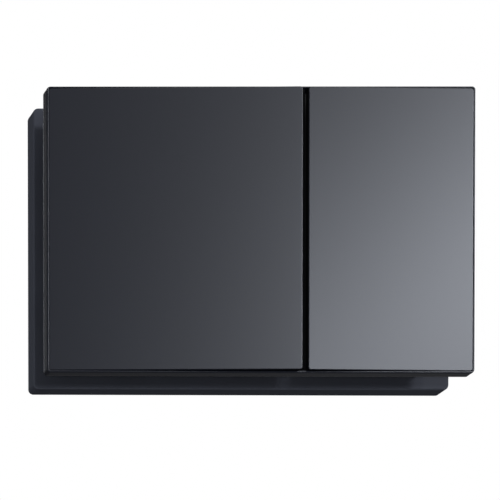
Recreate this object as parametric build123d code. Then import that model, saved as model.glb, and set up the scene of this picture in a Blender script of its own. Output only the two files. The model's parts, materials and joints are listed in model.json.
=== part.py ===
"""Dual flush plate for a concealed cistern.

A thin rim frames a large and a small push button that float in front of a wall base. Each button is
hinged at its outer edge and pushes a spring-loaded rod through the mounting frame behind the base.
X runs to the right, Z up, and the wall is the plane Y = 0. Heights are measured from the wall
towards the viewer, against Y.
"""

import os
from dataclasses import dataclass
from math import cos, radians, sin, tan

from build123d import *

# Overall plate
plate_width = 246.0
plate_height = 164.0
plate_depth = 17.6

# Rim frame
rim_width = 1.0
rim_setback = 0.1
rim_depth = 3.2
rim_corner_radius = 2.2
rim_chamfer = 0.3
shelf_thickness = 0.8
side_wall_inset = 10.0
side_wall_thickness = 1.5
divider_thickness = 1.6
divider_recess = 0.7
web_inset = 12.0
tongue_from_centre = 50.0
side_tongue_from_centre = 24.0
tongue_length = 10.0
tongue_fit = 0.1
tongue_barb = 0.8
tongue_barb_height = 1.2

# Wall base
base_side_setback = 1.0
base_end_overhang = 0.3
base_depth = 5.0
base_wall = 2.2
base_skin = 2.2
base_corner_radius = 3.0
base_edge_chamfer = 0.5
pocket_corner_radius = 1.0
back_rib_thickness = 1.4
back_rib_setback = 0.4
back_rib_pitch = 44.0
light_wall_inset = 12.0
light_wall_thickness = 1.6

# Buttons
gap_from_centre = 24.9
button_gap = 3.7
button_clearance = 0.2
panel_thickness = 1.8
panel_corner_radius = 1.4
panel_bevel_reach = 0.3
panel_bevel_drop = 0.12
carrier_floor = 1.2
carrier_inset = 1.2
carrier_inner_inset = 0.3
carrier_tail = 4.0
carrier_corner_radius = 0.6
rib_thickness = 1.4
rib_pitch = 40.0
rib_first_reach = 9.0
rib_drop = 2.8
large_lift = 0.45
large_sink = 3.0
small_lift = 0.5
small_sink = 4.4

# Hinges
hinge_inset = 15.8
hinge_rise = 4.6
hinge_from_edge = 30.0
pin_radius = 1.5
pin_fit = 0.02
knuckle_radius = 3.2
knuckle_bore_play = 0.08
knuckle_length = 10.0
knuckle_web = 4.4
lug_radius = 3.4
lug_thickness = 4.0
lug_side_play = 0.4

# Stop hooks
hook_inset = 9.0
hook_from_centre = 34.0
hook_width = 9.0
hook_thickness = 2.0
hook_barb = 1.6
hook_barb_height = 2.0
hook_play = 0.25
slot_flex_room = 1.4
slot_barb_room = 0.5
slot_side_room = 0.6

# Push rods
rod_spacing = 76.0
rod_radius = 3.0
rod_fit = 0.02
rod_back = 62.0
rod_head_radius = 6.0
rod_head_thickness = 2.6
striker_radius = 3.0
striker_height = 1.6
rod_hole_room = 1.2
pusher_size = 10.0
pusher_length = 3.2
pusher_gap = 0.5
tip_radius = 5.2
tip_length = 9.0
tip_end_wall = 2.0
locknut_radius = 6.2
locknut_thickness = 3.2

# Rod guides and return springs
guide_radius = 7.8
guide_pocket_radius = 5.8
guide_pocket_back = 10.0
guide_back = 16.0
guide_front = 2.0
guide_bore_play = 0.1
spring_radius = 5.2
spring_wire = 0.9
spring_turns = 4.5
spring_sides = 12
spring_end_gap = 0.1

# Buffers
buffer_inset = 15.0
buffer_from_centre = 52.0
buffer_size = 6.0
buffer_head = 1.4
buffer_stem_size = 3.6
buffer_fit = 0.05
buffer_gap = 0.3
buffer_pad_size = 8.0

# Mounting frame
frame_width = 200.0
frame_height = 124.0
frame_corner_radius = 6.0
frame_fit = 0.4
frame_flange = 1.8
collar_inset = 7.0
collar_wall = 2.0
collar_depth = 14.0
collar_corner_radius = 4.0

# Guide bridge
bar_height = 26.0
bar_front = 4.0
bar_thickness = 3.0
bar_rib_thickness = 2.0
bar_rib_depth = 5.0
bridge_tongue_height = 12.0
bridge_fit = 0.1

# Fastening rods
bolt_spacing = 140.0
bolt_radius = 4.0
bolt_neck_radius = 3.0
bolt_fit = 0.02
bolt_front = 3.6
bolt_back = 62.0
bolt_slot_room = 0.4
bolt_slot_travel = 4.0
washer_size = 16.0
washer_thickness = 1.2
nut_radius = 7.5
nut_thickness = 5.0
nut_access_size = 21.0

# Screws
screw_radius = 1.45
screw_fit = 0.05
screw_hole_room = 0.25
screw_head_radius = 3.2
screw_head_height = 1.7
screw_spacing = 120.0
screw_from_centre = 49.0
screw_length = 11.0
boss_size = 6.4
boss_end_wall = 1.0
press_room = 0.6

# Heights and positions that follow
rim_front = plate_depth - rim_setback
rim_back = plate_depth - rim_depth
panel_back = plate_depth - panel_thickness
floor_back = panel_back - carrier_floor
skin_back = base_depth - base_skin
skin_middle = base_depth - base_skin / 2
half_width = plate_width / 2
half_height = plate_height / 2
base_width = plate_width - 2 * base_side_setback
base_height = plate_height + 2 * base_end_overhang
hinge_height = base_depth + hinge_rise
button_margin = rim_width + button_clearance
gap_centre = gap_from_centre
gap_left = gap_centre - button_gap / 2
gap_right = gap_centre + button_gap / 2
side_wall_x = half_width - side_wall_inset
hinge_z = half_height - hinge_from_edge
light_wall_z = half_height - light_wall_inset
collar_width = frame_width - 2 * collar_inset
collar_height = frame_height - 2 * collar_inset
window_width = collar_width - 2 * collar_wall
window_height = collar_height - 2 * collar_wall
bar_back = -bar_front - bar_thickness


@dataclass
class Button:
    """One push button, with its edges, its hinge and its travel."""

    outer_edge: float
    inner_edge: float
    lift: float
    sink: float
    rod_x: float

    @property
    def inward(self):
        """Direction along X from the hinge to the gap between the buttons."""
        return 1.0 if self.inner_edge > self.outer_edge else -1.0

    @property
    def hinge_x(self):
        return self.outer_edge + self.inward * hinge_inset

    def at(self, reach):
        """X of a point at a reach from the hinge."""
        return self.hinge_x + self.inward * reach

    def reach(self, x):
        """Reach of a point from the hinge."""
        return self.inward * (x - self.hinge_x)

    def pressed(self, reach, height):
        """Height at full press of a point drawn at a height with the button level."""
        turn = radians(self.sink)
        return hinge_height + (height - hinge_height) * cos(turn) - reach * sin(turn)

    def before_press(self, reach, height):
        """Height with the button level of a point that comes down to a height at full press."""
        turn = radians(self.sink)
        return hinge_height + (height - hinge_height + reach * sin(turn)) / cos(turn)

    def lifted(self, solid):
        """The solid, drawn with the button level, in the button's rest position."""
        axis = Axis((self.hinge_x, -hinge_height, 0), (0, 0, 1))
        return solid.rotate(axis, -self.inward * self.lift)

    def rod_apex(self):
        """Height of the rod head's top, just behind the pusher at rest."""
        turn = radians(self.lift)
        pusher_end = floor_back - pusher_length - hinge_height
        return hinge_height + pusher_end / cos(turn) + self.reach(self.rod_x) * tan(turn) - pusher_gap


large = Button(-half_width + button_margin, gap_left, large_lift, large_sink, -rod_spacing / 2)
small = Button(half_width - button_margin, gap_right, small_lift, small_sink, rod_spacing / 2)
buttons = (large, small)


def prism(outline, low, high):
    """Extrudes an outline drawn in X and Z between two heights."""
    return extrude(Plane.XZ.offset(low) * outline, amount=high - low, dir=(0, -1, 0))


def side_prism(outline, low, high):
    """Extrudes an outline drawn in X and height between two levels of Z."""
    side = Plane(origin=(0, 0, low), x_dir=(1, 0, 0), z_dir=(0, 0, -1))
    return extrude(side * outline, amount=high - low, dir=(0, 0, 1))


def rod(x, z, radius, low, high):
    """A cylinder square to the wall."""
    return prism(Pos(x, z) * Circle(radius), low, high)


def box(left, right, bottom, top):
    """A rectangle between two X values and two Y values of its sketch."""
    return Pos((left + right) / 2, (bottom + top) / 2) * Rectangle(abs(right - left), top - bottom)


def square(x, z, size):
    """A square about a centre."""
    return Pos(x, z) * Rectangle(size, size)


def front_edges(solid):
    """The edges of a solid's foremost face."""
    return solid.faces().sort_by(Axis.Y)[0].edges()


def spread(start, end, pitch):
    """Evenly spaced places from start to end, no farther apart than the pitch."""
    count = int((end - start) / pitch) + 1
    return [start + (end - start) * step / count for step in range(count + 1)]


def hook_start(button):
    """X of the hook arm's face on the hinge side."""
    return button.inner_edge - button.inward * (hook_inset + hook_thickness)


def buffer_x(button):
    return button.inner_edge - button.inward * buffer_inset


def back_ribs():
    """The fence that locates the mounting frame, and the ribs from it to the outer wall."""
    inner_width = frame_width + 2 * frame_fit
    inner_height = frame_height + 2 * frame_fit
    fence_width = inner_width + 2 * back_rib_thickness
    fence_height = inner_height + 2 * back_rib_thickness
    fence = Rectangle(fence_width, fence_height) - Rectangle(inner_width, inner_height)
    ribs = prism(fence, back_rib_setback, skin_middle)
    wall_x = base_width / 2 - base_wall / 2
    wall_z = base_height / 2 - base_wall / 2
    fence_x = fence_width / 2 - back_rib_thickness / 2
    fence_z = fence_height / 2 - back_rib_thickness / 2
    half_rib = back_rib_thickness / 2
    across = fence_width / 2 - 2 * frame_corner_radius
    upright = fence_height / 2 - 2 * frame_corner_radius
    for side in (-1, 1):
        for x in spread(-across, across, back_rib_pitch):
            inner, outer = sorted((side * fence_z, side * wall_z))
            ribs += prism(box(x - half_rib, x + half_rib, inner, outer), back_rib_setback, skin_middle)
        for z in spread(-upright, upright, back_rib_pitch):
            strip = box(side * fence_x, side * wall_x, z - half_rib, z + half_rib)
            ribs += prism(strip, back_rib_setback, skin_middle)
    return ribs


def light_walls():
    """Two walls that hide the mechanism, with a crest below the pressed buttons."""
    end = side_wall_x - side_wall_thickness - press_room
    top = floor_back - press_room
    lowest = min(button.pressed(button.reach(button.inner_edge), floor_back) for button in buttons)
    crest = Polygon(
        (-end, skin_middle),
        (-end, top),
        (large.hinge_x, top),
        (gap_centre, lowest - press_room),
        (small.hinge_x, top),
        (end, top),
        (end, skin_middle),
        align=None,
    )
    low = light_wall_z - light_wall_thickness / 2
    upper = side_prism(crest, low, low + light_wall_thickness)
    return upper + mirror(upper, about=Plane.XY)


def hinge_lugs(button):
    """Four cheeks that grip a button's two hinge pins in six-sided bores."""
    shoulder = hinge_height + lug_radius / 3
    top = hinge_height + lug_radius
    cheek = Polygon(
        (-lug_radius, skin_middle),
        (-lug_radius, shoulder),
        (-lug_radius / 2, top),
        (lug_radius / 2, top),
        (lug_radius, shoulder),
        (lug_radius, skin_middle),
        align=None,
    )
    cheek -= Pos(0, hinge_height) * RegularPolygon(pin_radius + pin_fit, 6, major_radius=False)
    cheek = Pos(button.hinge_x, 0) * cheek
    lugs = []
    for z in (-hinge_z, hinge_z):
        for side in (-1, 1):
            near = z + side * (knuckle_length / 2 + lug_side_play)
            low, high = sorted((near, near + side * lug_thickness))
            lugs.append(side_prism(cheek, low, high))
    return lugs


def tongues(room):
    """Outlines of the rim frame's tongues, or of their slots in the base with some room."""
    side_x = side_wall_x - side_wall_thickness / 2
    places = [(gap_centre, tongue_from_centre, divider_thickness)]
    places.append((-side_x, side_tongue_from_centre, side_wall_thickness))
    places.append((side_x, side_tongue_from_centre, side_wall_thickness))
    half_length = tongue_length / 2 + room
    outlines = []
    for x, from_centre, thickness in places:
        half_thickness = thickness / 2 + room
        for z in (-from_centre, from_centre):
            outlines.append(box(x - half_thickness, x + half_thickness, z - half_length, z + half_length))
    return outlines


def retaining_screw_places():
    """X and Z of each screw that holds the base to the mounting frame."""
    half = screw_spacing / 2
    return [(x, z) for x in (-half, half) for z in (-screw_from_centre, screw_from_centre)]


def skin_openings():
    """Holes and slots through the base's skin."""
    holes = []
    for button in buttons:
        holes.append(Pos(button.rod_x, 0) * Circle(rod_head_radius + rod_hole_room))
        start = hook_start(button) - button.inward * slot_flex_room
        end = hook_start(button) + button.inward * (hook_thickness + slot_barb_room)
        half_slot = hook_width / 2 + slot_side_room
        for z in (-hook_from_centre, hook_from_centre):
            holes.append(box(start, end, z - half_slot, z + half_slot))
        for z in (-buffer_from_centre, buffer_from_centre):
            holes.append(square(buffer_x(button), z, buffer_stem_size + 2 * buffer_fit))
    for x in (-bolt_spacing / 2, bolt_spacing / 2):
        holes.append(square(x, 0, nut_access_size))
    for x, z in retaining_screw_places():
        holes.append(Pos(x, z) * Circle(screw_radius + screw_hole_room))
    holes.extend(tongues(tongue_fit))
    return [prism(hole, 0, base_depth) for hole in holes]


def base_plate():
    """The wall base, with hinge lugs and light walls in front and ribs behind."""
    body = prism(RectangleRounded(base_width, base_height, base_corner_radius), 0, base_depth)
    body = chamfer(front_edges(body), base_edge_chamfer)
    pocket = RectangleRounded(base_width - 2 * base_wall, base_height - 2 * base_wall, pocket_corner_radius)
    body -= prism(pocket, 0, skin_back)
    body += back_ribs()
    body += light_walls()
    for button in buttons:
        body += hinge_lugs(button)
    body -= skin_openings()
    return body


def snap_barbs():
    """Barbs on the side tongues that catch behind the base's skin."""
    catch = skin_back - tongue_fit
    barbs = []
    for side in (-1, 1):
        face = side * side_wall_x
        barb = Polygon(
            (face - side * side_wall_thickness, skin_back),
            (face - side * side_wall_thickness, catch - tongue_barb_height),
            (face, catch - tongue_barb_height),
            (face + side * tongue_barb, catch),
            (face, catch),
            (face, skin_back),
            align=None,
        )
        for z in (-side_tongue_from_centre, side_tongue_from_centre):
            barbs.append(side_prism(barb, z - tongue_length / 2, z + tongue_length / 2))
    return barbs


def front_frame():
    """The rim round both buttons, with side walls and a divider that stand on the base."""
    outline = RectangleRounded(plate_width, plate_height, rim_corner_radius)
    opening_radius = rim_corner_radius - rim_width
    opening = RectangleRounded(plate_width - 2 * rim_width, plate_height - 2 * rim_width, opening_radius)
    body = prism(outline, rim_back, rim_front)
    body = chamfer(front_edges(body), rim_chamfer)
    body -= prism(opening, rim_back, rim_front)
    wall_inner = side_wall_x - side_wall_thickness
    wall_half = half_height - web_inset
    for side in (-1, 1):
        shelf = outline & box(side * wall_inner, side * half_width, -half_height, half_height)
        body += prism(shelf, rim_back, rim_back + shelf_thickness)
        wall = box(side * wall_inner, side * side_wall_x, -wall_half, wall_half)
        body += prism(wall, base_depth, rim_back + shelf_thickness)
    half_divider = divider_thickness / 2
    web_half = light_wall_z - light_wall_thickness / 2 - press_room
    bridge = outline & box(gap_centre - half_divider, gap_centre + half_divider, -half_height, half_height)
    web = box(gap_centre - half_divider, gap_centre + half_divider, -web_half, web_half)
    body += prism(bridge, rim_back, plate_depth - divider_recess)
    body += prism(web, base_depth, rim_back + shelf_thickness)
    for tongue in tongues(0):
        body += prism(tongue, skin_back, base_depth)
    return body + snap_barbs()


def panel(button):
    """The flat front of a button."""
    height = plate_height - 2 * button_margin
    sheet = box(button.outer_edge, button.inner_edge, -height / 2, height / 2)
    sheet = fillet(sheet.vertices(), panel_corner_radius)
    body = prism(sheet, panel_back, plate_depth)
    front = body.faces().sort_by(Axis.Y)[0]
    body = chamfer(front.edges(), panel_bevel_reach, panel_bevel_drop, reference=front)
    return button.lifted(body)


def carrier_ribs(button, half_span):
    """Ribs behind the carrier's floor, deep at the hinge and shallow at the gap."""
    last_reach = button.reach(button.inner_edge) - 2 * carrier_inset
    half_rib = rib_thickness / 2
    deepest = floor_back - rib_drop
    shallow = max(button.before_press(last_reach, base_depth + press_room), deepest)
    wedge = Polygon(
        (button.at(rib_first_reach - rib_thickness), floor_back),
        (button.at(rib_first_reach - rib_thickness), deepest),
        (button.at(last_reach), shallow),
        (button.at(last_reach), floor_back),
        align=None,
    )
    ribs = []
    for reach in spread(rib_first_reach, last_reach - half_rib, rib_pitch):
        strip = box(button.at(reach - half_rib), button.at(reach + half_rib), -half_span, half_span)
        ribs.append(prism(strip, deepest, floor_back))
    for z in spread(-half_span + half_rib, half_span - half_rib, rib_pitch):
        strip = box(button.at(rib_first_reach), button.at(last_reach), z - half_rib, z + half_rib)
        ribs.append(prism(strip, deepest, floor_back))
    lattice = ribs[0] + ribs[1:]
    return lattice & side_prism(wedge, -half_span, half_span)


def knuckles(button):
    """The two bored eyes that turn on a button's hinge pins."""
    axle = Pos(button.hinge_x, hinge_height)
    eye = axle * Circle(knuckle_radius)
    eye += box(button.hinge_x - knuckle_web / 2, button.hinge_x + knuckle_web / 2, hinge_height, floor_back)
    eye -= axle * Circle(pin_radius + knuckle_bore_play)
    low = hinge_z - knuckle_length / 2
    upper = side_prism(eye, low, low + knuckle_length)
    return upper + mirror(upper, about=Plane.XY)


def stop_hooks(button):
    """The two hooks that catch behind the base's skin and hold the button at rest."""
    inward = button.inward
    near = hook_start(button)
    far = near + inward * hook_thickness
    barb = far + inward * hook_barb
    rest_lift = button.reach(far) * tan(radians(button.lift))
    catch = skin_back - hook_play - rest_lift
    tip = catch - hook_barb_height
    arm = Polygon(
        (near, floor_back),
        (near, tip),
        (far, tip),
        (barb, catch - hook_barb_height / 3),
        (barb, catch),
        (far, catch),
        (far, floor_back),
        align=None,
    )
    low = hook_from_centre - hook_width / 2
    upper = side_prism(arm, low, low + hook_width)
    return upper + mirror(upper, about=Plane.XY)


def carrier(button):
    """The moulding behind a panel: floor, ribs, knuckles, hooks, pusher and buffer pads."""
    half_span = half_height - button_margin - carrier_inset
    inner_end = button.inner_edge - button.inward * carrier_inner_inset
    floor = box(button.at(-carrier_tail), inner_end, -half_span, half_span)
    floor = fillet(floor.vertices(), carrier_corner_radius)
    body = prism(floor, floor_back, panel_back)
    body += carrier_ribs(button, light_wall_z - light_wall_thickness - press_room)
    body += knuckles(button)
    body += stop_hooks(button)
    body += prism(square(button.rod_x, 0, pusher_size), floor_back - pusher_length, floor_back)
    pad_reach = button.reach(buffer_x(button)) + buffer_pad_size / 2
    pad_end = button.before_press(pad_reach, base_depth + buffer_head + buffer_gap)
    for z in (-buffer_from_centre, buffer_from_centre):
        body += prism(square(buffer_x(button), z, buffer_pad_size), pad_end, floor_back)
    return button.lifted(body)


def hinge_pin(button, side):
    """A steel pin through two lugs and the knuckle between them."""
    half = knuckle_length / 2 + lug_side_play + lug_thickness
    pin = Pos(button.hinge_x, hinge_height) * Circle(pin_radius)
    return side_prism(pin, side * hinge_z - half, side * hinge_z + half)


def buffers(button):
    """The two rubber studs that end a button's stroke."""
    studs = []
    for z in (-buffer_from_centre, buffer_from_centre):
        head = prism(square(buffer_x(button), z, buffer_size), base_depth, base_depth + buffer_head)
        head = chamfer(front_edges(head), buffer_head / 3)
        studs.append(head + prism(square(buffer_x(button), z, buffer_stem_size), skin_back, base_depth))
    return Compound(children=studs)


def rod_head_back(button):
    return button.rod_apex() - striker_height - rod_head_thickness


def push_rod(button):
    """The rod with its flanged head and the striker that the button's pusher bears on."""
    apex = button.rod_apex()
    body = rod(button.rod_x, 0, rod_radius, tip_end_wall - rod_back, rod_head_back(button))
    body += rod(button.rod_x, 0, rod_head_radius, rod_head_back(button), apex - striker_height)
    return body + rod(button.rod_x, 0, striker_radius, apex - striker_height, apex)


def rod_tip(button):
    """The cap on the rod's far end that presses the flush valve's lever."""
    cap = Pos(button.rod_x, 0) * RegularPolygon(tip_radius, 6)
    body = prism(cap, -rod_back, tip_length - rod_back)
    return body - rod(button.rod_x, 0, rod_radius + rod_fit, tip_end_wall - rod_back, tip_length - rod_back)


def rod_locknut(button):
    """The nut that locks the tip on its thread."""
    outline = Pos(button.rod_x, 0) * (RegularPolygon(locknut_radius, 6) - Circle(rod_radius + rod_fit))
    low = tip_length - rod_back
    return prism(outline, low, low + locknut_thickness)


def return_spring(button):
    """A coil spring with ground ends, from the guide's pocket to the rod's head."""
    low = -guide_pocket_back
    length = rod_head_back(button) - spring_end_gap - low
    coil_radius = spring_radius - spring_wire / 2
    steps = round(spring_turns * spring_sides)
    points = []
    for step in range(steps + 1):
        turn = radians(360 * step / spring_sides)
        points.append((coil_radius * cos(turn), coil_radius * sin(turn), length * step / steps))
    path = Polyline(*points)
    wire = Plane(origin=path @ 0, z_dir=path % 0) * Rectangle(spring_wire, spring_wire)
    coil = sweep(wire, path, transition=Transition.RIGHT)
    coil &= Cylinder(2 * spring_radius, length, align=(Align.CENTER, Align.CENTER, Align.MIN))
    return Plane(origin=(button.rod_x, -low, 0), z_dir=(0, -1, 0)) * coil


def mounting_frame():
    """The frame in the wall opening: flange, collar, screw bosses and slots for the guide bridge."""
    flange_back = skin_back - frame_flange
    window = RectangleRounded(window_width, window_height, collar_corner_radius - collar_wall)
    flange = RectangleRounded(frame_width, frame_height, frame_corner_radius) - window
    collar = RectangleRounded(collar_width, collar_height, collar_corner_radius) - window
    body = prism(flange, flange_back, skin_back)
    body += prism(collar, -collar_depth, skin_back)
    boss_back = base_depth - screw_length - boss_end_wall
    boss_reach = collar_height / 2 - collar_wall / 2
    for x, z in retaining_screw_places():
        side = 1 if z > 0 else -1
        inner, outer = sorted((z - side * boss_size / 2, side * boss_reach))
        body += prism(box(x - boss_size / 2, x + boss_size / 2, inner, outer), boss_back, skin_back)
        pilot = Pos(x, z) * RegularPolygon(screw_radius + screw_fit, 6, major_radius=False)
        body -= prism(pilot, base_depth - screw_length - screw_fit, skin_back)
    slots = Rectangle(collar_width, bridge_tongue_height + 2 * bridge_fit)
    return body - prism(slots, bar_back - bridge_fit, bridge_fit - bar_front)


def guide_bridge():
    """The bar across the mounting frame that guides the push rods and takes the fastening rods."""
    bar_length = window_width - 2 * bridge_fit
    half_bar = bar_height / 2
    bar = Rectangle(bar_length, bar_height) + Rectangle(collar_width, bridge_tongue_height)
    body = prism(bar, bar_back, -bar_front)
    for side in (-1, 1):
        inner, outer = sorted((side * (half_bar - bar_rib_thickness), side * half_bar))
        rib = box(-bar_length / 2, bar_length / 2, inner, outer)
        body += prism(rib, bar_back - bar_rib_depth, bar_back)
    for button in buttons:
        body += rod(button.rod_x, 0, guide_radius, -guide_back, -guide_front)
        body -= rod(button.rod_x, 0, guide_pocket_radius, -guide_pocket_back, -guide_front)
        body -= rod(button.rod_x, 0, rod_radius + guide_bore_play, -guide_back, -guide_pocket_back)
    for x in (-bolt_spacing / 2, bolt_spacing / 2):
        slot_width = 2 * (bolt_neck_radius + bolt_slot_room)
        slot = Pos(x, 0) * Rectangle(slot_width + 2 * bolt_slot_travel, slot_width)
        body -= prism(slot, bar_back, -bar_front)
    return body


def fastening_rod(side):
    """A threaded rod, drawn plain, whose neck passes the bridge and whose shoulder stops behind it."""
    x = side * bolt_spacing / 2
    return rod(x, 0, bolt_radius, -bolt_back, bar_back) + rod(x, 0, bolt_neck_radius, bar_back, bolt_front)


def fastening_washer(side):
    ring = Rectangle(washer_size, washer_size) - Circle(bolt_neck_radius + bolt_fit)
    return prism(Pos(side * bolt_spacing / 2, 0) * ring, -bar_front, washer_thickness - bar_front)


def fastening_nut(side):
    """The nut that draws the bridge and its frame to the wall."""
    low = washer_thickness - bar_front
    outline = RegularPolygon(nut_radius, 6) - Circle(bolt_neck_radius + bolt_fit)
    return prism(Pos(side * bolt_spacing / 2, 0) * outline, low, low + nut_thickness)


def retaining_screws():
    """The hexagon-head screws through the base into the mounting frame."""
    screws = []
    for x, z in retaining_screw_places():
        hexagon = Pos(x, z) * RegularPolygon(screw_head_radius, 6)
        head = prism(hexagon, base_depth, base_depth + screw_head_height)
        screws.append(head + rod(x, z, screw_radius, base_depth - screw_length, base_depth))
    return Compound(children=screws)


def all_parts():
    parts = {
        "base_plate": base_plate(),
        "front_frame": front_frame(),
        "mounting_frame": mounting_frame(),
        "guide_bridge": guide_bridge(),
        "retaining_screws": retaining_screws(),
    }
    for name, side in (("left", -1), ("right", 1)):
        parts[name + "_fastening_rod"] = fastening_rod(side)
        parts[name + "_fastening_washer"] = fastening_washer(side)
        parts[name + "_fastening_nut"] = fastening_nut(side)
    for name, button in (("large", large), ("small", small)):
        parts[name + "_button_panel"] = panel(button)
        parts[name + "_button_carrier"] = carrier(button)
        parts[name + "_upper_hinge_pin"] = hinge_pin(button, 1)
        parts[name + "_lower_hinge_pin"] = hinge_pin(button, -1)
        parts[name + "_buffers"] = buffers(button)
        parts[name + "_push_rod"] = push_rod(button)
        parts[name + "_rod_tip"] = rod_tip(button)
        parts[name + "_rod_locknut"] = rod_locknut(button)
        parts[name + "_return_spring"] = return_spring(button)
    return parts


os.makedirs("parts", exist_ok=True)
for part_name, part in all_parts().items():
    export_step(part, "parts/" + part_name + ".step")
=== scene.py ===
"""Looks of a dual flush plate: finishes, threaded and coiled pieces, studio light and camera.

Everything is in metres, in the plate's own frame: X to the right, Z up, the wall at Y = 0.
"""

import json
import math

import bpy
from mathutils import Matrix, Vector

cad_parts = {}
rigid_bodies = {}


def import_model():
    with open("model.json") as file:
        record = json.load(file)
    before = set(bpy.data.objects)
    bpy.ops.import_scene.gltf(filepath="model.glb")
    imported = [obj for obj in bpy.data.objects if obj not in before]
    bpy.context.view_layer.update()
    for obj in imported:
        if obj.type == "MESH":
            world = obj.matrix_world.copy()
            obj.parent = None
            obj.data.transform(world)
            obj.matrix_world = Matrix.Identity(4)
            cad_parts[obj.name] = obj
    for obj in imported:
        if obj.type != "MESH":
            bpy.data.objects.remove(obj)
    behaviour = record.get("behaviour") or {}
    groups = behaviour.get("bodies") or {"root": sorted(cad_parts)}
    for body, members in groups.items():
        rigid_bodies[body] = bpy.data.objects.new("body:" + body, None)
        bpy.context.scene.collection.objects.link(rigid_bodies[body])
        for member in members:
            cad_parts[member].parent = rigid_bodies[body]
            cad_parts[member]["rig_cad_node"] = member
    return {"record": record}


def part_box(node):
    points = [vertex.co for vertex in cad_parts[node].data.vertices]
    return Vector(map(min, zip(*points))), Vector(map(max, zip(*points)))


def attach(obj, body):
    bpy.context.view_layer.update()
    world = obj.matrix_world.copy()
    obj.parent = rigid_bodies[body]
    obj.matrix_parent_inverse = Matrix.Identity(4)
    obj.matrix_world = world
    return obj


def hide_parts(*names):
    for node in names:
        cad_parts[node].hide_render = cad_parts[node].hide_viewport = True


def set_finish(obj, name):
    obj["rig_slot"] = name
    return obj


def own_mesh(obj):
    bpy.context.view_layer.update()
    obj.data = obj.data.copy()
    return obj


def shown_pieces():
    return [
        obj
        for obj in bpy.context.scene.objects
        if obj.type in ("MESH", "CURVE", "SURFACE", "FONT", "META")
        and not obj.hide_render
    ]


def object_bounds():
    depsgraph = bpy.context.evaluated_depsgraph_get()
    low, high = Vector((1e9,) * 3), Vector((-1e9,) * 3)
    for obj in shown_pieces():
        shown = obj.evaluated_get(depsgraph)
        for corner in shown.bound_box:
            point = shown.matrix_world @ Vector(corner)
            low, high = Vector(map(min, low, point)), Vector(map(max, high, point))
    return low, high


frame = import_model()
cad_low, cad_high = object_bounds()
scene = bpy.context.scene
MM = 0.001

# Camera: the picture plane is nearly parallel to the plate, and the view comes from the lower left
CAMERA_TO_PLATE = Vector((0.5468, 0.6032, 0.5281))
CAMERA_AIM_X = -6.25 * MM
CAMERA_AIM_Z = -11.76 * MM
CAMERA_NEAR = 50 * MM
PICTURE_RIGHT = Vector((1.0, 0.0103, 0.0102))
PICTURE_UP = Vector((0.0122, 0.0142, 1.0))
LENS = 120.43
SENSOR = 36.0

# Lights, by the direction they come from: the key falls on matt surfaces, and gloss mirrors the sheen
KEY_TOWARDS = Vector((0.847, -0.342, 0.407))
KEY_SPREAD = math.radians(5)
KEY_LEVEL = 3.1
SHEEN_TOWARDS = Vector((0.745, -0.428, 0.512))
SHEEN_LEVEL = 2.25
FILL_TOWARDS = Vector((-0.56, -0.62, -0.54))
FILL_SPREAD = math.radians(20)
FILL_LEVEL = 1.05
BACK_TOWARDS = Vector((0.05, 0.88, 0.47))
BACK_SPREAD = math.radians(30)
BACK_LEVEL = 1.8
FRONT_TOWARDS = Vector((0.0, -1.0, 0.0))
FRONT_SPREAD = math.radians(30)
FRONT_LEVEL = 1.2
LAMP_COLOUR = (0.95, 1.0, 1.10)

# Room: its soft light grows between two heights, given as the Z of a direction
AMBIENT_HEIGHTS = (-0.2, 0.6)
AMBIENT_LEVELS = (0.05, 0.6)
ROOM_COLOUR = (0.93, 1.0, 1.14, 1.0)
WHITE = (1.0, 1.0, 1.0, 1.0)

# Floor
FLOOR_DROP = 0.2 * MM
FLOOR_RADIUS = 1.6
FLOOR_SOFT_EDGE = 0.9
FLOOR_TONES = ((0.77, 0.72, 0.64), (0.80, 0.75, 0.67))
FLOOR_PATCH = 120 * MM
FLOOR_ROUGHNESS = 0.9
FLOOR_GLOW = 0.05

# Gloss of the lacquer and of the mouldings, where 0.5 is the level of common plastic
COAT_GLOSS = 0.092
# Gloss of the near-black plastic, which is painted shade on walls in the gaps
BARE_AND_SHADE_GLOSS = 0.02
BASE_GLOSS = 0.015
CARRIER_GLOSS = 0.15

# Lacquer: its fine texture as sizes and heights, and the near-black, dull plastic beside it, which is bare
# moulding inside the frame and painted shade on the walls in the gaps
COAT_TEXTURE = [(1.6 * MM, 0.0006 * MM), (0.22 * MM, 0.0003 * MM)]
COAT_PATCH = 40 * MM
COAT_GRAIN = 0.8 * MM
BARE_AND_SHADE_COLOUR = (0.0015, 0.0015, 0.0016)
BARE_AND_SHADE_ROUGHER = 0.5
RIM_WIDTH = 1.2 * MM
# Share of painted shade on the rim's outer walls
RIM_WALL_SHADE = 0.3
PANEL_EDGE = 0.25 * MM
RIM_EDGE = 0.8 * MM

# Slight set of each panel's face: its sideways lean, bow and twist, in radians at the panel's edges
PANEL_SET = {"large": (-0.0051, 0.0077, 0.0042), "small": (0.0022, -0.0079, -0.0051)}
PANEL_MARGIN = 1.0 * MM

# Other finishes
# Painted shade: a darker copy of the base's colour for its side walls
BASE_WALL_SHADE_COLOUR = (0.0500, 0.0516, 0.0600)
STRAW_COLOUR = (0.62, 0.56, 0.42)
STRAW_PATCH = 5 * MM
STRAW_SHARE = 0.35
WALL_NORMAL_LIMIT = 0.5
NOISE_DETAIL = 3.0
NOISE_RANGE = (0.3, 0.7)
EDGE_SAMPLES = 6

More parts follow.
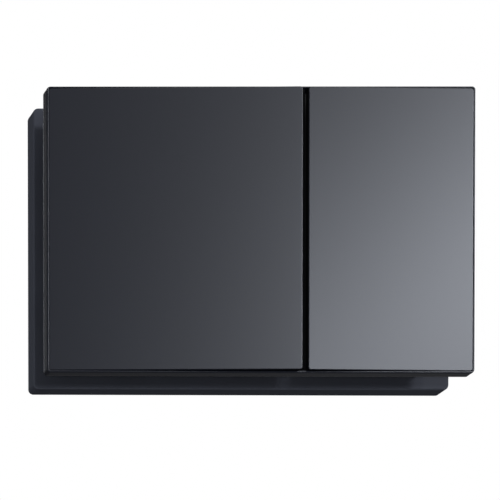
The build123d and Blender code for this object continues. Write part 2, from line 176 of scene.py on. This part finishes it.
# Turned and threaded pieces
AROUND = 32
ROWS_PER_PITCH = 8
LEAST_ROWS = 2
THREAD_FLANK = 2.2
THREAD_CREST = 0.6
ROD_PITCH = 1.25 * MM
ROD_DEPTH = 0.68 * MM
ROD_SHOULDER = 2.0 * MM
NECK_RADIUS = 3.0 * MM
NECK_PITCH = 1.0 * MM
NECK_DEPTH = 0.54 * MM
NECK_END = 7.0 * MM
PUSH_ROD_RADIUS = 3.0 * MM
PUSH_ROD_PITCH = 1.5 * MM
PUSH_ROD_DEPTH = 0.6 * MM
PUSH_ROD_THREAD = 26.0 * MM
HEAD_THICKNESS = 2.6 * MM
STRIKER_HEIGHT = 1.6 * MM
EDGE_ROUND = 0.4 * MM
END_CHAMFER = 0.8 * MM
BORE_PLAY = 0.02 * MM
TIP_WALL = 2.0 * MM
HEXAGON_SEGMENTS = 48
HEXAGON_HALF_SIDE = math.pi / 6
HEXAGON_CHAMFER_ANGLE = math.pi / 6
HEXAGON_CHAMFER_SHARE = 0.93
SHARP_ANGLE = math.radians(38)

# Lip behind the rim at the gap's upper end
RIM_DEPTH = 3.2 * MM
LIP_WIDTH = 6.0 * MM
LIP_HEIGHT = 1.0 * MM
LIP_DEPTH = 2.0 * MM

# Springs
SPRING_WIRE = 0.9 * MM
SPRING_TURNS = 6.5
SPRING_CLOSED_TURNS = 1.0
SPRING_STEPS = 28
WIRE_SIDES = 10


def add_piece(name, points, faces, body, slot, node=None):
    """A mesh piece that rides on a body and may stand for a node of the plate."""
    mesh = bpy.data.meshes.new(name)
    mesh.from_pydata([tuple(p) for p in points], [], faces)
    mesh.validate()
    mesh.shade_smooth()
    mesh.set_sharp_from_angle(angle=SHARP_ANGLE)
    piece = bpy.data.objects.new(name, mesh)
    scene.collection.objects.link(piece)
    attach(piece, body)
    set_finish(piece, slot)
    if node:
        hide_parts(node)
    return piece


def skin(rings, closed=False):
    """Points and faces of a tube through rings of points, with caps unless it closes on itself."""
    count = len(rings[0])
    points = [p for ring in rings for p in ring]
    faces = []
    spans = len(rings) if closed else len(rings) - 1
    for row in range(spans):
        start = row * count
        after = (row + 1) % len(rings) * count
        for step in range(count):
            beside = (step + 1) % count
            faces.append((start + step, start + beside, after + beside, after + step))
    if not closed:
        faces.append(tuple(reversed(range(count))))
        faces.append(tuple(range((len(rings) - 1) * count, len(rings) * count)))
    return points, faces


def centre_line(node):
    """X and Z of the line along which a turned node lies, with its first and last Y."""
    low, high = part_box(node)
    return (low.x + high.x) / 2, (low.z + high.z) / 2, low.y, high.y


def half_width(node):
    """Half of a node's extent along X, which is the outer radius of a turned node."""
    low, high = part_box(node)
    return (high.x - low.x) / 2


def round_ring(x, z, y, radius):
    """A circle of points square to the wall; the radius may be a function of the turn."""
    ring = []
    for step in range(AROUND):
        turn = 2 * math.pi * step / AROUND
        reach = radius(turn) if callable(radius) else radius
        ring.append((x + reach * math.cos(turn), y, z + reach * math.sin(turn)))
    return ring


def thread_rings(x, z, start, end, radius, pitch, depth):
    """Rings of a screw thread between two Y values, cut below a radius and run out at both ends."""
    rows = max(LEAST_ROWS, round((end - start) / pitch * ROWS_PER_PITCH))
    rings = []
    for row in range(rows + 1):
        y = start + (end - start) * row / rows
        runout = min(1.0, min(y - start, end - y) / pitch)

        def groove(turn, y=y, runout=runout):
            phase = (y / pitch - turn / (2 * math.pi)) % 1.0
            cut = min(1.0, max(0.0, THREAD_FLANK * abs(2 * phase - 1) - THREAD_CREST))
            return radius - depth * cut * runout

        rings.append(round_ring(x, z, y, groove))
    return rings


def fastening_rod(side):
    """A steel rod with a coarse thread behind its shoulder and a fine one on its neck."""
    node = side + "_fastening_rod"
    x, z, front, back = centre_line(node)
    radius = half_width(node)
    neck_start = front + END_CHAMFER
    neck_stop = NECK_END - EDGE_ROUND
    rings = [round_ring(x, z, front, NECK_RADIUS - END_CHAMFER)]
    rings += thread_rings(x, z, neck_start, neck_stop, NECK_RADIUS, NECK_PITCH, NECK_DEPTH)
    rings.append(round_ring(x, z, NECK_END, NECK_RADIUS))
    rings.append(round_ring(x, z, NECK_END, radius - EDGE_ROUND))
    rings.append(round_ring(x, z, NECK_END + EDGE_ROUND, radius))
    rings += thread_rings(x, z, NECK_END + ROD_SHOULDER, back - END_CHAMFER, radius, ROD_PITCH, ROD_DEPTH)
    rings.append(round_ring(x, z, back, radius - END_CHAMFER))
    return add_piece(node + "_threaded", *skin(rings), "base", "steel", node)


def push_rod(button):
    """A moulded rod with a flanged head, a striker and a thread for its tip."""
    node = button + "_push_rod"
    x, z, front, back = centre_line(node)
    head_radius = half_width(node)
    head_front = front + STRIKER_HEIGHT
    head_back = head_front + HEAD_THICKNESS
    profile = [
        (front, PUSH_ROD_RADIUS - EDGE_ROUND),
        (front + EDGE_ROUND, PUSH_ROD_RADIUS),
        (head_front - EDGE_ROUND, PUSH_ROD_RADIUS),
        (head_front, PUSH_ROD_RADIUS + EDGE_ROUND),
        (head_front, head_radius - EDGE_ROUND),
        (head_front + EDGE_ROUND, head_radius),
        (head_back - EDGE_ROUND, head_radius),
        (head_back, head_radius - EDGE_ROUND),
        (head_back, PUSH_ROD_RADIUS),
    ]
    rings = [round_ring(x, z, y, radius) for y, radius in profile]
    thread = back - PUSH_ROD_THREAD
    rings += thread_rings(x, z, thread, back - END_CHAMFER, PUSH_ROD_RADIUS, PUSH_ROD_PITCH, PUSH_ROD_DEPTH)
    rings.append(round_ring(x, z, back, PUSH_ROD_RADIUS - END_CHAMFER))
    return add_piece(node + "_turned", *skin(rings), button + "_rod", "push_rod", node)


def hexagon_ring(x, z, y, corner_radius, limit):
    """A hexagon with corners on X, cut by a circle of a limiting radius."""
    flat = corner_radius * math.cos(HEXAGON_HALF_SIDE)
    ring = []
    for step in range(HEXAGON_SEGMENTS):
        turn = 2 * math.pi * step / HEXAGON_SEGMENTS
        reach = flat / math.cos(turn % (2 * HEXAGON_HALF_SIDE) - HEXAGON_HALF_SIDE)
        reach = min(reach, limit)
        ring.append((x + reach * math.cos(turn), y, z + reach * math.sin(turn)))
    return ring


def circle_ring(x, z, y, radius):
    """A circle with as many points as a hexagon ring."""
    return hexagon_ring(x, z, y, 2 * radius, radius)


def chamfered_sides(x, z, front, back, corner_radius):
    """Rings of a hexagon's outside, with its corners turned down at both faces."""
    limit = corner_radius * HEXAGON_CHAMFER_SHARE
    drop = (corner_radius - limit) * math.tan(HEXAGON_CHAMFER_ANGLE)
    return [
        hexagon_ring(x, z, front, corner_radius, limit),
        hexagon_ring(x, z, front + drop, corner_radius, corner_radius),
        hexagon_ring(x, z, back - drop, corner_radius, corner_radius),
        hexagon_ring(x, z, back, corner_radius, limit),
    ]


def hexagon_nut(node, bore, body, slot):
    """A nut with turned corners and a countersunk bore."""
    x, z, front, back = centre_line(node)
    rings = chamfered_sides(x, z, front, back, half_width(node))
    rings.append(circle_ring(x, z, back, bore + EDGE_ROUND))
    rings.append(circle_ring(x, z, back - EDGE_ROUND, bore))
    rings.append(circle_ring(x, z, front + EDGE_ROUND, bore))
    rings.append(circle_ring(x, z, front, bore + EDGE_ROUND))
    return add_piece(node + "_chamfered", *skin(rings, closed=True), body, slot, node)


def rod_tip(button):
    """The hexagonal cap on a push rod's end, with a blind bore."""
    node = button + "_rod_tip"
    x, z, front, back = centre_line(node)
    bore = PUSH_ROD_RADIUS + BORE_PLAY
    rings = [circle_ring(x, z, back - TIP_WALL, bore)]
    rings.append(circle_ring(x, z, front, bore))
    rings += chamfered_sides(x, z, front, back, half_width(node))
    return add_piece(node + "_chamfered", *skin(rings), button + "_rod", "push_rod", node)


def return_spring(button):
    """A coil of round wire with closed ends, given a mesh of its own."""
    node = button + "_return_spring"
    x, z, front, back = centre_line(node)
    wire = SPRING_WIRE / 2
    coil_radius = half_width(node) - SPRING_WIRE
    open_turns = SPRING_TURNS - 2 * SPRING_CLOSED_TURNS
    first = back - wire
    closed_rise = SPRING_WIRE * SPRING_CLOSED_TURNS
    open_rise = first - front - wire - 2 * closed_rise
    steps = round(SPRING_TURNS * SPRING_STEPS)
    rings = []
    for step in range(steps + 1):
        turns = SPRING_TURNS * step / steps
        lower = min(turns, SPRING_CLOSED_TURNS)
        upper = max(0.0, turns - SPRING_CLOSED_TURNS - open_turns)
        middle = turns - lower - upper
        y = first - SPRING_WIRE * (lower + upper) - open_rise * middle / open_turns
        angle = 2 * math.pi * turns
        outward = Vector((math.cos(angle), 0.0, math.sin(angle)))
        centre = Vector((x, y, z)) + coil_radius * outward
        ring = []
        for side in range(WIRE_SIDES):
            turn = 2 * math.pi * side / WIRE_SIDES
            ring.append(centre + wire * (math.cos(turn) * outward + math.sin(turn) * Vector((0, 1, 0))))
        rings.append(ring)
    spring = add_piece(node + "_coil", *skin(rings), "base", "spring", node)
    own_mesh(spring)
    return spring


def gap_lip():
    """A small lip that closes the sight line between the buttons' upper ends."""
    rim_low, rim_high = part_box("front_frame")
    left = (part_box("large_button_panel")[1].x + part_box("small_button_panel")[0].x) / 2
    right = left + LIP_WIDTH
    top = rim_high.z
    bottom = top - LIP_HEIGHT
    front = rim_low.y + RIM_DEPTH
    outline = ((left, bottom), (right, bottom), (right, top), (left, top))
    rings = [[Vector((x, y, z)) for x, z in outline] for y in (front, front + LIP_DEPTH)]
    return add_piece("gap_lip", *skin(rings), "base", "rim")


def new_material(name):
    """A node material with a Principled shader."""
    material = bpy.data.materials.new(name)
    material.use_nodes = True
    return material


def principled(material):
    """The Principled shader of a material."""
    return material.node_tree.nodes["Principled BSDF"]


def feed(shader, name):
    """The socket that feeds an input of a shader."""
    return shader.inputs[name].links[0].from_socket


def give(tree, socket, value):
    """Sets a socket to a number, or links another socket to it."""
    if isinstance(value, (int, float)):
        socket.default_value = value
    else:
        tree.links.new(value, socket)


def place(tree):
    """Coordinates in the plate's frame, which move with the piece."""
    return tree.nodes.new("ShaderNodeTexCoord").outputs["Object"]


def split(tree, vector):
    """The X, Y and Z of a vector."""
    node = tree.nodes.new("ShaderNodeSeparateXYZ")
    tree.links.new(vector, node.inputs["Vector"])
    return node.outputs


def noise(tree, size):
    """Noise with features of a size in metres."""
    node = tree.nodes.new("ShaderNodeTexNoise")
    node.inputs["Scale"].default_value = 1.0 / size
    node.inputs["Detail"].default_value = NOISE_DETAIL
    tree.links.new(place(tree), node.inputs["Vector"])
    return node.outputs["Fac"]


def map_range(tree, value, source, target, smooth=False):
    """A value carried over from one range of numbers to another, in a straight or a smooth way."""
    node = tree.nodes.new("ShaderNodeMapRange")
    if smooth:
        node.interpolation_type = "SMOOTHSTEP"
    names = ("From Min", "From Max", "To Min", "To Max")
    for name, number in zip(names, (*source, *target)):
        node.inputs[name].default_value = number
    tree.links.new(value, node.inputs["Value"])
    return node.outputs["Result"]


def stretch(tree, value, low, high):
    """Noise values spread between two numbers."""
    return map_range(tree, value, NOISE_RANGE, (low, high))


def math_node(tree, operation, first, second=None):
    """The result of an operation on one or two values, each a socket or a number."""
    node = tree.nodes.new("ShaderNodeMath")
    node.operation = operation
    give(tree, node.inputs[0], first)
    if second is not None:
        give(tree, node.inputs[1], second)
    return node.outputs["Value"]


def blend_colours(tree, factor, first, second):
    """A mix of two colours, each a socket or three numbers."""
    node = tree.nodes.new("ShaderNodeMix")
    node.data_type = "RGBA"
    tree.links.new(factor, node.inputs["Factor"])
    for name, value in (("A", first), ("B", second)):
        socket = next(s for s in node.inputs if s.name == name and s.type == "RGBA")
        if isinstance(value, tuple):
            socket.default_value = (*value, 1.0)
        else:
            tree.links.new(value, socket)
    return next(s for s in node.outputs if s.type == "RGBA")


def shaded(colour, share):
    """A colour made lighter or darker by a share."""
    return tuple(part * (1 + share) for part in colour)


def bump_layer(tree, height, normal, distance=1.0):
    """A normal that follows a height times a distance in metres, on top of another normal."""
    node = tree.nodes.new("ShaderNodeBump")
    node.inputs["Distance"].default_value = distance
    tree.links.new(height, node.inputs["Height"])
    if normal is not None:
        tree.links.new(normal, node.inputs["Normal"])
    return node.outputs["Normal"]


def add_bump(tree, shader, layers, rounding, form):
    """Softened edges, the form of a face, and layers of noise with a size and a height in metres."""
    normal = None
    if rounding:
        soft = tree.nodes.new("ShaderNodeBevel")
        soft.samples = EDGE_SAMPLES
        soft.inputs["Radius"].default_value = rounding
        normal = soft.outputs["Normal"]
    if form:
        normal = bump_layer(tree, form(tree), normal)
    for size, height in layers:
        normal = bump_layer(tree, noise(tree, size), normal, height)
    tree.links.new(normal, shader.inputs["Normal"])


def finish(
    name, colour, spread, patch, roughness, rough_spread, grain, texture,
    metallic=0.0, rounding=0.0, form=None,
):
    """A moulded, coated or plated finish with patches of tone, uneven gloss and a fine grain."""
    material = new_material(name)
    tree = material.node_tree
    shader = principled(material)
    tone = stretch(tree, noise(tree, patch), 0.0, 1.0)
    mixed = blend_colours(tree, tone, shaded(colour, -spread), shaded(colour, spread))
    tree.links.new(mixed, shader.inputs["Base Color"])
    gloss = stretch(tree, noise(tree, grain), roughness - rough_spread, roughness + rough_spread)
    tree.links.new(gloss, shader.inputs["Roughness"])
    shader.inputs["Metallic"].default_value = metallic
    add_bump(tree, shader, texture, rounding, form)
    return material


def lacquer(material, mask):
    """A low gloss, with near-black rough plastic in place of the coat where a mask is 1, which paints shade
    on walls in the gaps.
    """
    tree = material.node_tree
    shader = principled(material)
    colour = blend_colours(tree, mask, feed(shader, "Base Color"), BARE_AND_SHADE_COLOUR)
    tree.links.new(colour, shader.inputs["Base Color"])
    rougher = math_node(tree, "MULTIPLY", mask, BARE_AND_SHADE_ROUGHER)
    roughness = math_node(tree, "ADD", feed(shader, "Roughness"), rougher)
    tree.links.new(roughness, shader.inputs["Roughness"])
    duller = math_node(tree, "MULTIPLY", mask, COAT_GLOSS - BARE_AND_SHADE_GLOSS)
    gloss = math_node(tree, "SUBTRACT", COAT_GLOSS, duller)
    tree.links.new(gloss, shader.inputs["Specular IOR Level"])


def side_walls(tree):
    """A mask that is 1 on walls square to the plate's front, where the finishes paint shade."""
    normal = tree.nodes.new("ShaderNodeNewGeometry").outputs["True Normal"]
    forward = math_node(tree, "ABSOLUTE", split(tree, normal)["Y"])
    return math_node(tree, "LESS_THAN", forward, WALL_NORMAL_LIMIT)


def panel_form(tree):
    """The slight lean, bow and twist of the two panels' faces, as a height in metres."""
    where = split(tree, place(tree))
    total = 0.0
    for button, (lean, bow, twist) in PANEL_SET.items():
        low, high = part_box(button + "_button_panel")
        width = high.x - low.x
        across = math_node(tree, "SUBTRACT", where["X"], (low.x + high.x) / 2)
        bowed = math_node(tree, "MULTIPLY", across, bow / width)
        twisted = math_node(tree, "MULTIPLY", where["Z"], 2 * twist / (high.z - low.z))
        slope = math_node(tree, "ADD", math_node(tree, "ADD", bowed, twisted), lean)
        distance = math_node(tree, "ABSOLUTE", across)
        inside = math_node(tree, "LESS_THAN", distance, width / 2 + PANEL_MARGIN)
        height = math_node(tree, "MULTIPLY", math_node(tree, "MULTIPLY", across, slope), inside)
        total = math_node(tree, "SUBTRACT", total, height)
    return total


def satin_coating():
    """The satin charcoal lacquer of the button faces, with painted shade that turns the side walls
    near-black and dull.
    """
    material = finish(
        "satin_coating", colour=(0.0010, 0.0018, 0.0052), spread=0.05, patch=COAT_PATCH,
        roughness=0.349, rough_spread=0.012, grain=COAT_GRAIN, texture=COAT_TEXTURE,
        rounding=PANEL_EDGE, form=panel_form,
    )
    # Painted shade: the panels' side walls, in the gaps, take the near-black, dull plastic
    lacquer(material, side_walls(material.node_tree))
    return material


def rim_finish():
    """The rim's lacquer, darker and duller on its outer walls by painted shade, and near-black plastic on
    the frame's inner walls, which is bare moulding and painted shade in the gaps.
    """
    material = finish(
        "rim_coating", colour=(0.0012, 0.0020, 0.0055), spread=0.05, patch=COAT_PATCH,
        roughness=0.36, rough_spread=0.015, grain=COAT_GRAIN, texture=COAT_TEXTURE,
        rounding=RIM_EDGE,
    )
    tree = material.node_tree
    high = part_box("front_frame")[1]
    where = split(tree, place(tree))
    from_side = math_node(tree, "SUBTRACT", high.x, math_node(tree, "ABSOLUTE", where["X"]))
    from_end = math_node(tree, "SUBTRACT", high.z, math_node(tree, "ABSOLUTE", where["Z"]))
    from_edge = math_node(tree, "MINIMUM", from_side, from_end)
    # Painted shade: the frame's inner walls, and part of the rim's outer walls, take the near-black, dull
    # plastic
    inside = math_node(tree, "GREATER_THAN", from_edge, RIM_WIDTH)
    rim_wall_shade = math_node(tree, "MULTIPLY", side_walls(tree), RIM_WALL_SHADE)
    lacquer(material, math_node(tree, "MAXIMUM", inside, rim_wall_shade))
    return material


def base_moulding():
    """The spark-eroded black plastic of the wall base, with painted shade that darkens its side walls."""
    material = finish(
        "base_moulding", colour=(0.0590, 0.0607, 0.0704), spread=0.06, patch=30 * MM,
        roughness=0.70, rough_spread=0.04, grain=0.3 * MM,
        texture=[(0.35 * MM, 0.004 * MM), (0.12 * MM, 0.002 * MM)],
    )
    tree = material.node_tree
    shader = principled(material)
    shader.inputs["Specular IOR Level"].default_value = BASE_GLOSS
    # Painted shade: the side walls take the darker colour
    walls = blend_colours(tree, side_walls(tree), feed(shader, "Base Color"), BASE_WALL_SHADE_COLOUR)
    tree.links.new(walls, shader.inputs["Base Color"])
    return material


def carrier_moulding():
    """The plain black plastic behind the button faces."""
    material = finish(
        "carrier_moulding", colour=(0.008, 0.008, 0.0088), spread=0.08, patch=25 * MM,
        roughness=0.6, rough_spread=0.05, grain=0.4 * MM, texture=[(0.5 * MM, 0.003 * MM)],
    )
    principled(material).inputs["Specular IOR Level"].default_value = CARRIER_GLOSS
    return material


def frame_moulding():
    """The grey plastic of the mounting frame and its bridge."""
    return finish(
        "frame_moulding", colour=(0.21, 0.22, 0.235), spread=0.05, patch=18 * MM,
        roughness=0.5, rough_spread=0.05, grain=0.5 * MM,
        texture=[(6 * MM, 0.01 * MM), (0.4 * MM, 0.003 * MM)],
    )


def natural_plastic():
    """The milky white plastic of the push rods."""
    material = finish(
        "natural_plastic", colour=(0.68, 0.67, 0.62), spread=0.04, patch=9 * MM,
        roughness=0.38, rough_spread=0.05, grain=0.6 * MM,
        texture=[(3 * MM, 0.006 * MM), (0.4 * MM, 0.002 * MM)],
    )
    shader = principled(material)
    shader.inputs["Subsurface Weight"].default_value = 0.25
    shader.inputs["Subsurface Radius"].default_value = (1.0, 0.9, 0.7)
    shader.inputs["Subsurface Scale"].default_value = 1.2 * MM
    return material


def zinc_plate():
    """Zinc-plated steel with lighter and darker patches and a faint straw tint."""
    material = finish(
        "zinc_plate", colour=(0.56, 0.57, 0.59), spread=0.10, patch=3 * MM,
        roughness=0.34, rough_spread=0.08, grain=0.5 * MM,
        texture=[(0.6 * MM, 0.002 * MM), (0.15 * MM, 0.001 * MM)], metallic=1.0,
    )
    tree = material.node_tree
    shader = principled(material)
    tint = stretch(tree, noise(tree, STRAW_PATCH), 0.0, STRAW_SHARE)
    tinted = blend_colours(tree, tint, feed(shader, "Base Color"), STRAW_COLOUR)
    tree.links.new(tinted, shader.inputs["Base Color"])
    return material


def spring_wire():
    """Bright drawn wire."""
    return finish(
        "spring_wire", colour=(0.60, 0.60, 0.61), spread=0.08, patch=2 * MM,
        roughness=0.27, rough_spread=0.06, grain=0.3 * MM,
        texture=[(0.25 * MM, 0.001 * MM)], metallic=1.0,
    )


def buffer_rubber():
    """The matt black rubber of the buffers."""
    return finish(
        "buffer_rubber", colour=(0.018, 0.018, 0.018), spread=0.15, patch=4 * MM,
        roughness=0.82, rough_spread=0.06, grain=0.5 * MM, texture=[(0.4 * MM, 0.006 * MM)],
    )


def dress():
    """Gives every piece the finish of its material slot in the record."""
    finishes = {
        "panel": satin_coating(),
        "rim": rim_finish(),
        "base": base_moulding(),
        "carrier": carrier_moulding(),
        "frame": frame_moulding(),
        "push_rod": natural_plastic(),
        "steel": zinc_plate(),
        "spring": spring_wire(),
        "buffer": buffer_rubber(),
    }
    slots = {part["node"]: part["material_slot"] for part in frame["record"]["subparts"]}
    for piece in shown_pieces():
        slot = piece.get("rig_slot") or slots[piece["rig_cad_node"]]
        piece.data.materials.clear()
        piece.data.materials.append(finishes[slot])


def distant_light(name, towards, spread, level):
    """A distant light from a direction, with an angle of spread."""
    lamp = bpy.data.lights.new(name, "SUN")
    lamp.angle = spread
    lamp.energy = level
    lamp.color = LAMP_COLOUR
    light = bpy.data.objects.new(name, lamp)
    light.location = towards
    light.rotation_mode = "QUATERNION"
    light.rotation_quaternion = (-towards).to_track_quat("-Z", "Y")
    scene.collection.objects.link(light)
    return light


def studio_lights():
    """A key from the right, which gloss mirrors from higher up, and softer lights round the plate."""
    key = distant_light("key", KEY_TOWARDS, KEY_SPREAD, KEY_LEVEL)
    key.visible_glossy = False
    sheen = distant_light("sheen", SHEEN_TOWARDS, KEY_SPREAD, SHEEN_LEVEL)
    sheen.visible_diffuse = False
    distant_light("fill", FILL_TOWARDS, FILL_SPREAD, FILL_LEVEL)
    distant_light("back_light", BACK_TOWARDS, BACK_SPREAD, BACK_LEVEL)
    distant_light("front_light", FRONT_TOWARDS, FRONT_SPREAD, FRONT_LEVEL)


def background(tree, colour, strength):
    """A background shader with a strength that is a socket or a number."""
    node = tree.nodes.new("ShaderNodeBackground")
    node.inputs["Color"].default_value = colour
    give(tree, node.inputs["Strength"], strength)
    return node.outputs["Background"]


def mix_shaders(tree, factor, first, second):
    """One shader where a factor is 0 and another where it is 1."""
    node = tree.nodes.new("ShaderNodeMixShader")
    tree.links.new(factor, node.inputs["Fac"])
    tree.links.new(first, node.inputs[1])
    tree.links.new(second, node.inputs[2])
    return node.outputs["Shader"]


def studio_world():
    """A white surround, seen and mirrored, and a softer room light for matt surfaces."""
    world = bpy.data.worlds.new("studio")
    scene.world = world
    world.use_nodes = True
    tree = world.node_tree
    tree.nodes.clear()
    direction = tree.nodes.new("ShaderNodeTexCoord").outputs["Generated"]
    height = split(tree, direction)["Z"]
    ambient = map_range(tree, height, AMBIENT_HEIGHTS, AMBIENT_LEVELS, smooth=True)
    path = tree.nodes.new("ShaderNodeLightPath").outputs
    mirrored = math_node(tree, "MAXIMUM", path["Is Glossy Ray"], path["Is Transmission Ray"])
    shown = math_node(tree, "MAXIMUM", path["Is Camera Ray"], mirrored)
    soft = background(tree, ROOM_COLOUR, ambient)
    white = background(tree, WHITE, 1.0)
    output = tree.nodes.new("ShaderNodeOutputWorld")
    tree.links.new(mix_shaders(tree, shown, soft, white), output.inputs["Surface"])


def floor_material():
    """A pale floor that fades out at its edge and is clear from below, where the main view looks up."""
    material = new_material("pale_floor")
    tree = material.node_tree
    shader = principled(material)
    tone = stretch(tree, noise(tree, FLOOR_PATCH), 0.0, 1.0)
    tree.links.new(blend_colours(tree, tone, *FLOOR_TONES), shader.inputs["Base Color"])
    shader.inputs["Roughness"].default_value = FLOOR_ROUGHNESS
    shader.inputs["Emission Color"].default_value = WHITE
    shader.inputs["Emission Strength"].default_value = FLOOR_GLOW
    length = tree.nodes.new("ShaderNodeVectorMath")
    length.operation = "LENGTH"
    tree.links.new(place(tree), length.inputs[0])
    edge = (FLOOR_RADIUS - FLOOR_SOFT_EDGE, FLOOR_RADIUS)
    fade = map_range(tree, length.outputs["Value"], edge, (0.0, 1.0), smooth=True)
    underside = tree.nodes.new("ShaderNodeNewGeometry").outputs["Backfacing"]
    clear = math_node(tree, "MAXIMUM", fade, underside)
    see_through = tree.nodes.new("ShaderNodeBsdfTransparent").outputs["BSDF"]
    mixed = mix_shaders(tree, clear, shader.outputs["BSDF"], see_through)
    tree.links.new(mixed, tree.nodes["Material Output"].inputs["Surface"])
    return material


def studio_floor():
    """A round floor just under the plate."""
    mesh = bpy.data.meshes.new("floor")
    points = []
    for step in range(AROUND):
        turn = 2 * math.pi * step / AROUND
        points.append((FLOOR_RADIUS * math.cos(turn), FLOOR_RADIUS * math.sin(turn), 0.0))
    mesh.from_pydata(points, [], [tuple(range(AROUND))])
    mesh.materials.append(floor_material())
    floor = bpy.data.objects.new("floor", mesh)
    floor.location.z = cad_low.z - FLOOR_DROP
    floor.visible_diffuse = False
    floor.visible_glossy = False
    floor.visible_transmission = False
    floor.visible_shadow = False
    scene.collection.objects.link(floor)


def photo_camera():
    """A camera whose picture plane stays nearly parallel to the plate, by a skewed parent."""
    camera = bpy.data.objects.new("camera", bpy.data.cameras.new("camera"))
    camera.data.lens = LENS
    camera.data.sensor_width = SENSOR
    camera.data.clip_start = CAMERA_NEAR
    stand = bpy.data.objects.new("camera_stand", None)
    for thing in (camera, stand):
        scene.collection.objects.link(thing)
    rim_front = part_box("front_frame")[0].y
    aim = Vector((CAMERA_AIM_X, rim_front, CAMERA_AIM_Z))
    eye = aim - CAMERA_TO_PLATE
    camera.parent = stand
    axes = (PICTURE_RIGHT.normalized(), PICTURE_UP.normalized(), -CAMERA_TO_PLATE.normalized())
    skew = Matrix.Identity(4)
    for column, axis in enumerate((*axes, eye)):
        for row in range(3):
            skew[row][column] = axis[row]
    camera.matrix_parent_inverse = skew
    scene.camera = camera


for side_name in ("left", "right"):
    fastening_rod(side_name)
    hexagon_nut(side_name + "_fastening_nut", NECK_RADIUS + BORE_PLAY, "base", "steel")
for button_name in ("large", "small"):
    push_rod(button_name)
    rod_tip(button_name)
    hexagon_nut(button_name + "_rod_locknut", PUSH_ROD_RADIUS + BORE_PLAY, button_name + "_rod", "push_rod")
    return_spring(button_name)
gap_lip()
dress()
studio_lights()
studio_world()
studio_floor()
photo_camera()
scene.view_settings.view_transform = "Standard"
